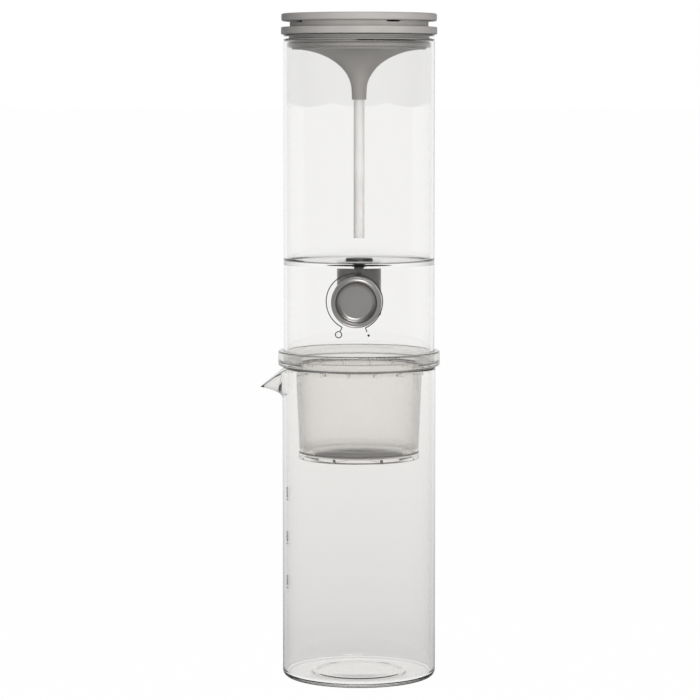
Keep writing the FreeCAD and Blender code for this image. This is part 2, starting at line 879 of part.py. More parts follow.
def knob_face():
    """The dished metal face pressed into the knob's recess: a flat middle, a curved slope and a thin lip."""
    radius = knob_r - knob_rim_width - face_clearance
    edge_front = recess_floor - face_edge_height
    flat_front = recess_floor - face_centre_thickness
    slope_r = radius - face_lip
    middle = Vector(
        (slope_r + face_flat_r) / 2 + face_slope_bow / 2,
        0,
        (flat_front + edge_front) / 2 + face_slope_bow / 2,
    )
    outline = [
        Part.makeLine(Vector(0, 0, recess_floor), Vector(radius, 0, recess_floor)),
        Part.makeLine(Vector(radius, 0, recess_floor), Vector(radius, 0, edge_front)),
        Part.makeLine(Vector(radius, 0, edge_front), Vector(slope_r, 0, edge_front)),
        Part.Arc(Vector(slope_r, 0, edge_front), middle, Vector(face_flat_r, 0, flat_front)).toShape(),
        Part.makeLine(Vector(face_flat_r, 0, flat_front), Vector(0, 0, flat_front)),
        Part.makeLine(Vector(0, 0, flat_front), Vector(0, 0, recess_floor)),
    ]
    solid = Part.Face(Part.Wire(outline)).revolve(Vector(0, 0, 0), UP, 360)
    # The outline is drawn with the knob's axis upright, then laid along Y.
    solid.Placement = FreeCAD.Placement(Vector(0, 0, valve_axis), FreeCAD.Rotation(Vector(1, 0, 0), -90))
    return solid


def knob_screw():
    """The grub screw that grips the stem, with a hexagon socket."""
    place = Vector(0, screw_y, valve_axis - stem_r)
    solid = Part.makeCylinder(screw_r, screw_length, place, Vector(0, 0, -1))
    corners = []
    for k in range(7):
        turn = math.radians(60.0 * k)
        corners.append(
            Vector(
                screw_socket / 2 * math.cos(turn),
                place.y + screw_socket / 2 * math.sin(turn),
                place.z - screw_length,
            )
        )
    socket = Part.Face(Part.makePolygon(corners)).extrude(Vector(0, 0, screw_socket_depth))
    return solid.cut(socket)


def drip_nozzle():
    """The outlet tip screwed into the underside of the block."""
    flange_top_z = valve_bottom - nozzle_washer
    flange_low = flange_top_z - nozzle_flange
    tip = flange_low - nozzle_taper
    return turned(
        [
            (nozzle_bore_r, valve_bottom + nozzle_thread_length),
            (nozzle_thread_r, valve_bottom + nozzle_thread_length),
            (nozzle_thread_r, flange_top_z),
            (nozzle_flange_r, flange_top_z),
            (nozzle_flange_r, flange_low),
            (nozzle_tip_r, tip),
            (nozzle_bore_r, tip),
        ]
    )


def nozzle_washer_ring():
    return ring(
        nozzle_thread_r + thread_clearance, nozzle_flange_r, valve_bottom - nozzle_washer, valve_bottom
    )


def quarter_ellipse(centre_r, centre_z, half_r, half_z, steps):
    """(radius, height) points from the top of a trumpet's curve down to its throat."""
    return [
        (
            centre_r - half_r * math.sin(math.radians(90.0 * k / steps)),
            centre_z + half_z * math.cos(math.radians(90.0 * k / steps)),
        )
        for k in range(steps + 1)
    ]


def trumpet_edge(points):
    curve = Part.BSplineCurve()
    curve.interpolate([Vector(r, 0, z) for r, z in points])
    return curve.toShape()


def lid_body():
    """The flange, the plug, the neck with its vents, and the trumpet that holds the air tube."""
    flare = plug_lip_r - trumpet_neck_r
    centre_z = trumpet_end + trumpet_socket_length
    rise = plug_bottom - centre_z
    steps = 10
    outside = quarter_ellipse(plug_lip_r, centre_z, flare, rise, steps)
    throat_r = tube_outer_r - tube_wall
    inside = quarter_ellipse(plug_lip_r, centre_z, plug_lip_r - throat_r, rise + trumpet_wall, steps)
    start = plug_inner_r
    share = (plug_lip_r - start) / (plug_lip_r - throat_r)
    inside_top = centre_z + (rise + trumpet_wall) * math.sqrt(1 - share**2)
    inside = [(start, inside_top)] + [p for p in inside if p[0] < start - throat_cleared]
    socket_r = tube_outer_r + tube_clearance
    ledge = flange_top - cap_ledge

    def line(a, b):
        return Part.makeLine(Vector(a[0], 0, a[1]), Vector(b[0], 0, b[1]))

    corners = [
        outside[-1],
        (trumpet_neck_r - trumpet_neck_draft, trumpet_end),
        (socket_r, trumpet_end),
        (socket_r, centre_z),
        inside[-1],
    ]
    upper = [
        inside[0],
        (plug_inner_r, ledge),
        (neck_inner_r, ledge),
        (neck_inner_r, disc_bottom),
        (neck_r, disc_bottom),
        (neck_r, flange_top),
        (flange_r, flange_top),
        (flange_r, flange_bottom),
        (plug_r, flange_bottom),
        (plug_r, plug_bottom + plug_lip),
        (plug_lip_r, plug_bottom + plug_lip),
        outside[0],
    ]
    edges = [trumpet_edge(outside)]
    edges += [line(a, b) for a, b in zip(corners, corners[1:])]
    edges += [trumpet_edge(inside[::-1])]
    edges += [line(a, b) for a, b in zip(upper, upper[1:])]
    face = Part.Face(Part.Wire(edges))
    solid = face.revolve(Vector(0, 0, 0), UP, 360)
    if solid.Volume < 0:
        solid.reverse()
    solid = round_circles(solid, flange_edge_r, [(flange_r, flange_top), (flange_r, flange_bottom)])
    slots = []
    for k in range(vent_count):
        slot = Part.makeBox(
            vent_width,
            2 * neck_wall,
            2 * vent_height,
            Vector(-vent_width / 2, -neck_r - neck_wall / 2, disc_bottom - vent_height),
        )
        slot.rotate(Vector(0, 0, 0), UP, vent_first_azimuth + 360.0 * k / vent_count)
        slots.append(slot)
    return solid.cut(Part.makeCompound(slots))


def lid_cap():
    """The top disc, held in the neck by tongues that leave the vents open."""
    disc = ring(0, lid_disc_r, disc_bottom, disc_top)
    disc = round_circles(disc, lid_disc_edge_r, [(lid_disc_r, disc_bottom), (lid_disc_r, disc_top)])
    tongue_r = neck_inner_r - tongue_clearance
    tongues = ring(tongue_r - tongue_wall, tongue_r, flange_top - cap_ledge, disc_bottom)
    for k in range(vent_count):
        gap = Part.makeBox(
            tongue_gap_width,
            2 * tongue_wall + 2 * tongue_gap_spare,
            disc_bottom - flange_top + cap_ledge,
            Vector(-tongue_gap_width / 2, -tongue_r - tongue_gap_spare, flange_top - cap_ledge),
        )
        gap.rotate(Vector(0, 0, 0), UP, vent_first_azimuth + 360.0 * k / vent_count)
        tongues = tongues.cut(gap)
    return disc.fuse(tongues)


def lid_gasket():
    """The soft seal round the plug: a fat bead inside the tank wall, and two fins over the tank's rim."""
    low = plug_bottom + plug_lip
    bead_top = low + gasket_bead_height
    outline = [
        (plug_r, low),
        (gasket_bead_r - gasket_bead_bevel, low),
        (gasket_bead_r, low + gasket_bead_bevel),
        (gasket_bead_r, bead_top - gasket_bead_slope),
        (gasket_body_r, bead_top),
    ]
    for k in range(2):
        root_low = tank_rim + gasket_rim_gap + k * fin_spacing
        outline += [
            (gasket_body_r, root_low),
            (gasket_body_r + fin_reach, root_low),
            (gasket_body_r + fin_reach, root_low + fin_tip),
            (gasket_body_r, root_low + fin_root),
        ]
    outline += [(gasket_body_r, flange_bottom), (plug_r, flange_bottom)]
    return turned(outline)


def air_tube():
    """The thin tube that lets air in near the bottom of the tank."""
    return ring(tube_outer_r - tube_wall, tube_outer_r, tube_top - tube_length, tube_top)


PIECES = {
    "carafe_glass": carafe_glass,
    "volume_marks": volume_marks,
    "cup_seal": cup_seal,
    "cup_body": cup_body,
    "cup_base_ring": cup_base_ring,
    "filter_mesh": filter_mesh,
    "base_gasket": base_gasket_ring,
    "tank_body": tank_body,
    "inlet_strainer": inlet_strainer,
    "dial_print": dial_print,
    "valve_body": valve_body,
    "valve_seal": valve_seal,
    "valve_seat": valve_seat,
    "bonnet": bonnet,
    "bonnet_washer": bonnet_washer_ring,
    "stem_packing": stem_packing,
    "drip_nozzle": drip_nozzle,
    "nozzle_washer": nozzle_washer_ring,
    "wall_bush": wall_bush,
    "wall_nut": wall_nut,
    "needle": needle,
    "stem": stem,
    "stem_circlip": stem_circlip,
    "knob_grip": knob_grip,
    "knob_face": knob_face,
    "knob_screw": knob_screw,
    "lid_body": lid_body,
    "lid_cap": lid_cap,
    "lid_gasket": lid_gasket,
    "air_tube": air_tube,
}

for name, make in PIECES.items():
    shape = make()
    solids = len(shape.Solids)
    print(f"{name}: {solids} solid(s), {shape.Volume:.1f} mm3, valid {shape.isValid()}")
    shape.exportStep(f"parts/{name}.step")
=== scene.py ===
"""The looks of a slow-drip cold brew coffee maker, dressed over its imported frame.

Metres, in the frame's own axes: +Z up, the knob faces -Y and the spout points to -X.
"""

import json
import math

import bpy
import numpy as np
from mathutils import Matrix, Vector


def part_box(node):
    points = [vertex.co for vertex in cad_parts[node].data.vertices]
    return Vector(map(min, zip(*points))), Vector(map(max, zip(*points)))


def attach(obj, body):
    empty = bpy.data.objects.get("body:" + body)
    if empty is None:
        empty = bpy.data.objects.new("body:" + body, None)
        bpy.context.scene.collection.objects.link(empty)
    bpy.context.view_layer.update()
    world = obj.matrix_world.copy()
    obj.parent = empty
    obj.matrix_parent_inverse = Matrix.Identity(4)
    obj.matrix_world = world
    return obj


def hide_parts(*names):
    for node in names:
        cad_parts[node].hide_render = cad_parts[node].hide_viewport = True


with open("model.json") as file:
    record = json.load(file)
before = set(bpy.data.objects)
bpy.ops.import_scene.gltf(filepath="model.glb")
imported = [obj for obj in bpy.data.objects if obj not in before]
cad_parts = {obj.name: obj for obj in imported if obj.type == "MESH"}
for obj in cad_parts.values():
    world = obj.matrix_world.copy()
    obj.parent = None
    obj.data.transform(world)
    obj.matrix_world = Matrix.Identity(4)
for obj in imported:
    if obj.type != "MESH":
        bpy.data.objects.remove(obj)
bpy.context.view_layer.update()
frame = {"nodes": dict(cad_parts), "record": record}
nodes = frame["nodes"]

MM = 0.001
WHITE = (1.0, 1.0, 1.0)

# The photograph's camera, from the sizes it shows
PIXEL = 0.588e-3
FRAME_PIXELS = 700
SENSOR_MM = 36.0
EYE_DISTANCE = 1.727
EYE_HEIGHT = 0.345
EYE_AZIMUTH = math.radians(1.6)
AIM_HEIGHT = 0.1930
AIM_LEFT = 0.0053

# Lamps: power in watts, place, the point they face, and size
KEY_POWER = 24.0
KEY_PLACE = (0.3, -1.65, 0.42)
KEY_TARGET = (0, 0, 0.26)
KEY_SIZE = (0.7, 0.7)
SOFTBOX_POWER = 10.5
SOFTBOX_PLACE = (0.3, -1.0, 1.45)
SOFTBOX_TARGET = (0, 0, 0.22)
SOFTBOX_SIZE = (0.85, 0.7)
LIGHT_BOUNCES = 24
GLOSSY_BOUNCES = 8

# The studio's brightness: 1 is the white that the camera sees. Mirrored is what metal and the outside of
# glass show of it, and through is what shows inside glass. The shares dim what is in front.
BACKDROP = 1.0
WORLD_FILL = 0.06
FRONT_MIRRORED = 0.42
FRONT_THROUGH = 0.1
SIDE_SHARE = 0.45
OVERHEAD_SHARE = 0.25

# Where the studio fades, as parts of a direction: from and to
OVERHEAD_FADE = (0.12, 0.6)
SIDE_FADE = (0.2, 0.8)
BACK_MIRRORED_FADE = (-0.1, 0.85)
BACK_THROUGH_FADE = (0.1, 0.92)

# The sweep under the tower, which is greyer close to it
FLOOR_REACH = 60.0
FLOOR_DROP = 0.2 * MM
FLOOR_BOUNCE = (0.6, 0.6, 0.6)
FLOOR_GLOW_SHARE = 0.99
SWEEP_NEAR_MIRRORED = 0.3
SWEEP_NEAR_THROUGH = 0.74
SWEEP_AWAY = (0.15, 2.6)
SWEEP_AWAY_POWER = 0.5
SWEEP_BEHIND = (-0.8, 0.8)
UNDER_CARAFE = (0.047, 0.05)

# Clear bodies
GLASS_IOR = 1.47
PLASTIC_IOR = 1.5
GLASS_EDGE = (0.12, 0.115, 0.11)
FACING_BLEND = 0.35
GLASS_EDGE_POWER = 4.0
CUP_EDGE_POWER = 2.4

# The frosted wall of the cup, between its clear base and its clear collar
FROST_ROUGHNESS = 0.16
FROST_LEAST = 0.85
FROST_OVER_BASE = 1.0 * MM
FROST_UNDER_TOP = 12.2 * MM
FROST_FADE = 1.5 * MM
FROST_DEPTH = 0.002 * MM
FROST_PITCH = 2600.0
FROST_PATCH_PITCH = 25.0

# Satin bodies
SATIN_PITCH = 1400.0
SATIN_DEPTH = 0.004 * MM
BLASTED_PITCH = 3000.0
BLASTED_DEPTH = 0.006 * MM
SATIN_PATCH_PITCH = 60.0
SATIN_DARKER = 0.93
SATIN_ROUGHNESS_SWING = 0.04
SHADE_MASK = (0.35, 0.65)
ROUGH_MASK = (0.3, 0.7)

# The painted shade round the knob's dish, by its radius: a darker band inside the lip that stands in for the
# shadow and dark reflection in its steep wall
LIP_PAINTED_SHADE_BAND = (10.1 * MM, 11.2 * MM)
LIP_PAINTED_SHADE = 0.32


# Shader helpers


class Shader:
    """A material's node tree, with short calls that add nodes and join sockets."""

    def __init__(self, tree):
        self.nodes = tree.nodes
        self.links = tree.links

    def add(self, kind, **settings):
        """A new node with its settings."""
        node = self.nodes.new("ShaderNode" + kind)
        for name, value in settings.items():
            setattr(node, name, value)
        return node

    def feed(self, socket, value):
        """Joins a socket to another node's output, or sets it to a plain value or colour."""
        if isinstance(value, bpy.types.NodeSocket):
            self.links.new(value, socket)
        elif socket.type == "RGBA":
            socket.default_value = value + (1.0,)
        else:
            socket.default_value = value

    def put(self, node, **values):
        """Feeds sockets by name, with underscores for spaces."""
        for name, value in values.items():
            self.feed(node.inputs[name.replace("_", " ")], value)
        return node

    def math(self, operation, a, b=0.0):
        """What a Math node makes of one value or two."""
        node = self.add("Math", operation=operation)
        self.feed(node.inputs[0], a)
        self.feed(node.inputs[1], b)
        return node.outputs[0]

    def spread(self, value, low, high, out_low, out_high):
        """A value's range mapped to another and held inside it."""
        node = self.add("MapRange")
        self.put(node, Value=value, From_Min=low, From_Max=high, To_Min=out_low, To_Max=out_high)
        return node.outputs["Result"]

    def blend(self, factor, a, b):
        """A mix of two colours. The node keeps its colour sockets after those of its other kinds."""
        node = self.add("Mix", data_type="RGBA")
        self.feed(node.inputs[0], factor)
        self.feed(node.inputs[6], a)
        self.feed(node.inputs[7], b)
        return node.outputs[2]

    def choose(self, factor, first, second):
        """The first shader where the factor is 0, and the second where it is 1."""
        node = self.add("MixShader")
        self.feed(node.inputs[0], factor)
        self.feed(node.inputs[1], first.outputs[0])
        self.feed(node.inputs[2], second.outputs[0])
        return node

    def split(self, vector):
        """A vector's X, Y and Z."""
        node = self.add("SeparateXYZ")
        self.feed(node.inputs[0], vector)
        return node.outputs

    def place(self):
        """Where a point is on its object."""
        return self.add("TexCoord").outputs["Object"]

    def use(self, group, **values):
        """A node group with its own values."""
        return self.put(self.add("Group", node_tree=group), **values)


def new_material(name):
    """An empty material with its output node."""
    material = bpy.data.materials.new(name)
    material.use_nodes = True
    material.node_tree.nodes.clear()
    shader = Shader(material.node_tree)
    return material, shader, shader.add("OutputMaterial")


def grain_group():
    """Fine grain: a small noise as a height and a broad one as a mask about 0.5, each at its own pitch."""
    group = bpy.data.node_groups.new("fine_grain", "ShaderNodeTree")
    for name in ("Pitch", "Patch Pitch"):
        group.interface.new_socket(name, in_out="INPUT", socket_type="NodeSocketFloat")
    for name in ("Height", "Mask"):
        group.interface.new_socket(name, in_out="OUTPUT", socket_type="NodeSocketFloat")
    shader = Shader(group)
    given = group.nodes.new("NodeGroupInput").outputs
    result = group.nodes.new("NodeGroupOutput")
    fine = shader.put(shader.add("TexNoise"), Vector=shader.place(), Scale=given["Pitch"], Detail=3.0)
    broad = shader.put(shader.add("TexNoise"), Vector=shader.place(), Scale=given["Patch Pitch"], Detail=4.0)
    shader.put(result, Height=fine.outputs["Fac"], Mask=broad.outputs["Fac"])
    return group


grain = grain_group()


# Finishes


def scaled(colour, share):
    """A colour with its parts made smaller by one share."""
    return tuple(c * share for c in colour)


def frosting(shader, body, low, high):
    """Makes a clear body rough between two heights, with soft ends. Gives the mask of all below the top."""
    height = shader.split(shader.place())["Z"]
    below = shader.spread(height, high - FROST_FADE, high, 1.0, 0.0)
    above = shader.spread(height, low, low + FROST_FADE, 0.0, 1.0)
    share = shader.math("MULTIPLY", below, above)
    spots = shader.use(grain, Pitch=FROST_PITCH, Patch_Pitch=FROST_PATCH_PITCH).outputs
    least = FROST_LEAST * FROST_ROUGHNESS
    uneven = shader.spread(spots["Mask"], *ROUGH_MASK, least, FROST_ROUGHNESS)
    grit = shader.math("MULTIPLY", share, spots["Height"])
    bump = shader.put(shader.add("Bump"), Distance=FROST_DEPTH, Strength=1.0, Height=grit)
    shader.put(body, Roughness=shader.math("MULTIPLY", share, uneven), Normal=bump.outputs[0])
    return below


def clear_body(
    name, tint, edge, ior, lamp_share=1.0, edge_power=GLASS_EDGE_POWER, frosted=None, top_tint=None,
):
    """Clear glass or plastic. Its tint deepens at grazing edges, where the eye looks along the wall, and a
    share of the lamps' light reaches through each face. A frosted piece is rough between two heights, and
    above them clear with a tint of its own."""
    material, shader, out = new_material(name)
    facing = shader.put(shader.add("LayerWeight"), Blend=FACING_BLEND).outputs["Facing"]
    rim = shader.math("POWER", facing, edge_power)
    body = shader.put(shader.add("BsdfPrincipled"), IOR=ior, Transmission_Weight=1.0, Roughness=0.0)
    plain = tint
    if frosted:
        below_top = frosting(shader, body, *frosted)
        plain = shader.blend(below_top, top_tint, tint)
    shader.put(body, Base_Color=shader.blend(rim, plain, edge))
    through = shader.put(shader.add("BsdfTransparent"), Color=scaled(tint, lamp_share))
    shadow = shader.add("LightPath").outputs["Is Shadow Ray"]
    shader.put(out, Surface=shader.choose(shadow, body, through).outputs[0])
    return material


def lip_painted_shade_mask(shader, axis_z):
    """A mask that rises from 0 to 1 across the lip's band of radii, round an axis along Y. It places the
    painted shade inside the dish's lip.
    """
    part = shader.split(shader.place())
    level = shader.math("SUBTRACT", part["Z"], axis_z)
    across_square = shader.math("MULTIPLY", part["X"], part["X"])
    level_square = shader.math("MULTIPLY", level, level)
    radius = shader.math("SQRT", shader.math("ADD", across_square, level_square))
    return shader.spread(radius, *LIP_PAINTED_SHADE_BAND, 0.0, 1.0)


def satin(name, colour, roughness, metallic=0.0, pitch=SATIN_PITCH, depth=SATIN_DEPTH, painted_shade_axis_z=None):
    """An opaque satin finish: fine grain in the bump, and slow patches in the colour and the roughness. A
    dish with a lip gets painted shade there: a darker band that stands in for the shadow in its steep wall."""
    material, shader, out = new_material(name)
    marks = shader.use(grain, Pitch=pitch, Patch_Pitch=SATIN_PATCH_PITCH).outputs
    patches = shader.spread(marks["Mask"], *SHADE_MASK, 0.0, 1.0)
    shade = shader.blend(patches, scaled(colour, SATIN_DARKER), colour)
    # Painted shade: the dish is darker in a band inside its lip, where its steep wall is in shadow
    if painted_shade_axis_z is not None:
        shade = shader.blend(lip_painted_shade_mask(shader, painted_shade_axis_z), shade, scaled(colour, LIP_PAINTED_SHADE))
    smoothest, roughest = roughness - SATIN_ROUGHNESS_SWING, roughness + SATIN_ROUGHNESS_SWING
    rough = shader.spread(marks["Mask"], *ROUGH_MASK, smoothest, roughest)
    bump = shader.put(shader.add("Bump"), Strength=1.0, Distance=depth, Height=marks["Height"])
    body = shader.put(
        shader.add("BsdfPrincipled"),
        Base_Color=shade, Roughness=rough, Metallic=metallic, Normal=bump.outputs[0],
    )
    shader.put(out, Surface=body.outputs[0])
    return material


def middle_height(node_name):
    """The height of a node's middle."""
    low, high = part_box(node_name)
    return (low[2] + high[2]) / 2


cup_low, cup_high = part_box("cup_body")
cup_wall = (cup_low[2] + FROST_OVER_BASE, cup_high[2] - FROST_UNDER_TOP)

finishes = {
    "carafe_glass": clear_body("carafe_glass", (0.965, 0.958, 0.948), GLASS_EDGE, GLASS_IOR),
    "tank_glass": clear_body("tank_glass", (0.96, 0.957, 0.952), GLASS_EDGE, GLASS_IOR, lamp_share=0.85),
    "cup_plastic": clear_body(
        "cup_plastic", (0.965, 0.955, 0.94), (0.1, 0.095, 0.09), PLASTIC_IOR,
        edge_power=CUP_EDGE_POWER, frosted=cup_wall, top_tint=(0.85, 0.84, 0.82),
    ),
    "frosted_tube": satin("frosted_tube", (0.8, 0.79, 0.78), roughness=0.4),
    "lid_plastic": satin("lid_plastic", (0.385, 0.37, 0.355), roughness=0.5),
    "silicone": satin("silicone", (0.3, 0.29, 0.28), roughness=0.35),
    "clear_silicone": satin("clear_silicone", (0.16, 0.155, 0.15), roughness=0.35),
    "valve_metal": satin("valve_metal", (0.11, 0.105, 0.1), roughness=0.2, metallic=1.0),
    "knob_metal": satin("knob_metal", (0.75, 0.72, 0.7), roughness=0.3, metallic=1.0),
    # The knob's face carries painted shade in a band inside its lip
    "face_metal": satin(
        "face_metal", (0.7, 0.68, 0.66), roughness=0.4, metallic=1.0,
        pitch=BLASTED_PITCH, depth=BLASTED_DEPTH, painted_shade_axis_z=middle_height("knob_face"),
    ),
    "filter_steel": satin("filter_steel", (0.035, 0.035, 0.034), roughness=0.4, metallic=1.0),
    "seat_plastic": satin("seat_plastic", (0.8, 0.8, 0.78), roughness=0.4),
    "print_ink": satin("print_ink", (0.03, 0.03, 0.03), roughness=0.4),
}


def dress_frame():
    """Gives every node of the frame the finish of its slot."""
    for entry in frame["record"]["subparts"]:
        mesh = nodes[entry["node"]].data
        mesh.materials.clear()
        mesh.materials.append(finishes[entry["material_slot"]])


dress_frame()


# Pieces that stand for their nodes, as surfaces worked out in numpy


CARAFE_WALL = 2.2 * MM
CARAFE_FLOOR = 2.4 * MM
CARAFE_CORNER = 3.4 * MM
CARAFE_INNER_CORNER = 2.2 * MM
SPOUT_REACH = 13.8 * MM
SPOUT_DROP = 12.0 * MM
SPOUT_DEPTH = 18.4 * MM
SPOUT_HALF_ANGLE = 25.0
SPOUT_OUT_POWER = 1.6
SPOUT_DOWN_POWER = 1.15
SPOUT_TAPER_POWER = 3.0
FLOOR_RING_R = 26.0 * MM
FLOOR_RING_HEIGHT = 0.3 * MM
FLOOR_RING_WIDTH = 1.3 * MM
FLOOR_CROWN = 0.35 * MM
FLOOR_START_GAP = 0.4 * MM
FLOOR_MIDDLE_R = 0.6 * MM

# The carafe's columns in degrees off the spout's middle, close together at the spout, and its rows
SPOUT_SECTOR = 26.0
SPOUT_COLUMN = 0.5
BODY_COLUMN = 1.4
UNDERSIDE_ROWS = 8
CORNER_ROWS = 14
WALL_ROWS = 6
MOUTH_ROWS = 30
RIM_ROWS = 13
INNER_CORNER_ROWS = 12
FLOOR_ROWS = 70

KNOB_RIM = 2.6 * MM
KNOB_RECESS = 2.8 * MM
KNOB_SHELL = 2.0 * MM
KNOB_HUB_R = 6.0 * MM
KNOB_BORE_R = 2.03 * MM
KNOB_FRONT_WALL = 2.4 * MM
KNOB_EDGE = 0.3 * MM
KNOB_COLUMNS = 960
KNOB_SIDE_ROWS = 44
HUB_EDGE_ROWS = 4
BACK_EDGE_ROWS = 5
FRONT_EDGE_ROWS = 6
RECESS_CORNER = 0.2 * MM
RECESS_MIDDLE_R = 0.4 * MM
RIM_GROOVE_IN = 1.0 * MM
RIM_GROOVE_HALF = 0.25 * MM
RIM_GROOVE_DEPTH = 0.35 * MM
KNURL_TEETH = 96
KNURL_DEPTH = 0.24 * MM
KNURL_START = 1.4 * MM
KNURL_END = 2.0 * MM
KNURL_FADE = 0.35 * MM
SIDE_TOLERANCE = 1e-6

DISH_FLAT_R = 8.7 * MM
DISH_MIDDLE = 0.8 * MM
DISH_MIDDLE_R = 0.3 * MM
DISH_LIP = 0.45 * MM
DISH_BACK_EDGE = 0.2 * MM
DISH_SLOPE_POWER = 1.15
DISH_LIP_ROWS = 7
DISH_SLOPE_ROWS = 30
DISH_FLAT_ROWS = 6
DISH_COLUMNS = 240


def surface(name, grid, material, body, slot, *replaced):
    """A closed smooth surface. Each row of the grid runs once round an axis, and the first and last rows are
    closed over the axis by a middle point. Its faces are turned over if its volume comes out below 0."""
    rows, columns, _ = grid.shape
    points = np.concatenate([grid.reshape(-1, 3), grid[:1].mean(axis=1), grid[-1:].mean(axis=1)])
    row, column = np.meshgrid(np.arange(rows - 1), np.arange(columns), indexing="ij")
    after = (column + 1) % columns
    low, high = row * columns, (row + 1) * columns
    quads = np.stack([low + column, low + after, high + after, high + column], axis=-1).reshape(-1, 4)
    turn = np.arange(columns)
    next_turn = (turn + 1) % columns
    first_middle, last_middle = rows * columns, rows * columns + 1
    last = (rows - 1) * columns
    first_fan = np.stack([np.full(columns, first_middle), next_turn, turn], axis=-1)
    last_fan = np.stack([np.full(columns, last_middle), last + turn, last + next_turn], axis=-1)
    a, b, c, d = (points[quads[:, corner]] for corner in range(4))
    volume = (np.cross(a, b) * c).sum() + (np.cross(a, c) * d).sum()
    if volume < 0:
        quads, first_fan, last_fan = quads[:, ::-1], first_fan[:, ::-1], last_fan[:, ::-1]
    mesh = bpy.data.meshes.new(name)
    mesh.from_pydata(points.tolist(), [], quads.tolist() + first_fan.tolist() + last_fan.tolist())
    mesh.materials.append(material)
    mesh.shade_smooth()
    piece = bpy.data.objects.new(name, mesh)
    bpy.context.scene.collection.objects.link(piece)
    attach(piece, body)
    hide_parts(*replaced)


def arc(centre_r, centre_z, radius, start, end, rows):
    """Points of an arc in a profile, as (radius, height) rows, from one angle in degrees to another."""
    turn = np.radians(np.linspace(start, end, rows))
    return np.stack([centre_r + radius * np.cos(turn), centre_z + radius * np.sin(turn)], axis=-1)


def run(start, end, rows):
    """Points of a straight run in a profile, without its ends."""
    share = np.linspace(0, 1, rows + 2)[1:-1, None]
    return np.array(start)[None] * (1 - share) + np.array(end)[None] * share


def carafe():
    """The glass vessel. A wall point at radius r, level z and angle t is pulled to
    r + reach * v**1.6 * s and z - drop * v**1.15 * s, where v is its height up the spout and
    s = cos(90 deg * off / half)**3 the share of the pull at its angle off the spout's middle.
    The floor's level rises by crown * (1 - (r / inner)**2)**2, and by the low ring
    height * exp(-((r - ring) / width)**2)."""
    low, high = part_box("carafe_glass")
    outer, height = high[0], high[2]
    inner = outer - CARAFE_WALL
    root = height - SPOUT_DEPTH
    rim = CARAFE_WALL / 2
    corner, inner_corner = CARAFE_CORNER, CARAFE_INNER_CORNER
    ring_r = np.linspace(inner - inner_corner - FLOOR_START_GAP, FLOOR_MIDDLE_R, FLOOR_ROWS)
    ring = FLOOR_RING_HEIGHT * np.exp(-(((ring_r - FLOOR_RING_R) / FLOOR_RING_WIDTH) ** 2))
    crown = FLOOR_CROWN * (1 - (ring_r / inner) ** 2) ** 2
    profile = np.concatenate([
        run((0.0, 0.0), (outer - corner, 0.0), UNDERSIDE_ROWS),
        arc(outer - corner, corner, corner, -90, 0, CORNER_ROWS),
        run((outer, corner), (outer, root), WALL_ROWS),
        run((outer, root), (outer, height - rim), MOUTH_ROWS),
        arc(outer - rim, height - rim, rim, 0, 180, RIM_ROWS),
        run((inner, height - rim), (inner, root), MOUTH_ROWS),
        run((inner, root), (inner, CARAFE_FLOOR + inner_corner), WALL_ROWS),
        arc(inner - inner_corner, CARAFE_FLOOR + inner_corner, inner_corner, 0, -90, INNER_CORNER_ROWS),
        np.stack([ring_r, CARAFE_FLOOR + ring + crown], axis=-1),
    ])
    near = np.arange(-SPOUT_SECTOR, SPOUT_SECTOR, SPOUT_COLUMN)
    far = np.arange(SPOUT_SECTOR, 360.0 - SPOUT_SECTOR, BODY_COLUMN)
    off = np.concatenate([near, far])
    away = np.abs((off + 180.0) % 360.0 - 180.0)
    share = np.cos(np.radians(90.0 * np.minimum(away / SPOUT_HALF_ANGLE, 1.0))) ** SPOUT_TAPER_POWER
    share = np.clip(share, 0.0, 1.0)[None]
    radius, level = profile[:, :1], profile[:, 1:]
    up = np.clip((level - root) / SPOUT_DEPTH, 0.0, 1.0)
    pulled = radius + SPOUT_REACH * up**SPOUT_OUT_POWER * share
    dropped = level - SPOUT_DROP * up**SPOUT_DOWN_POWER * share
    turn = np.radians(180.0 + off)[None]
    grid = np.stack([pulled * np.cos(turn), pulled * np.sin(turn), dropped], axis=-1)
    surface("carafe", grid, finishes["carafe_glass"], "carafe", "carafe_glass", "carafe_glass")


def knob_sizes(node_name):
    """A round piece's back along Y, its length, its radius and the height of its axis."""
    low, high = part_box(node_name)
    return high[1], high[1] - low[1], (high[0] - low[0]) / 2, (high[2] + low[2]) / 2


def knob_grid(profile, back, axis_z, columns, teeth=0.0):
    """A profile of (radius, depth from the back) rows turned about the knob's axis, which runs along -Y.
    At the angle t a row with teeth is drawn in by its depth of tooth * (1 + cos(96 t)) / 2."""
    turn = np.linspace(0, 2 * np.pi, columns, endpoint=False)[None]
    radius = profile[:, :1] - teeth * (0.5 + 0.5 * np.cos(KNURL_TEETH * turn))
    depth = profile[:, 1:] + np.zeros_like(turn)
    return np.stack([radius * np.cos(turn), back - depth, axis_z + radius * np.sin(turn)], axis=-1)


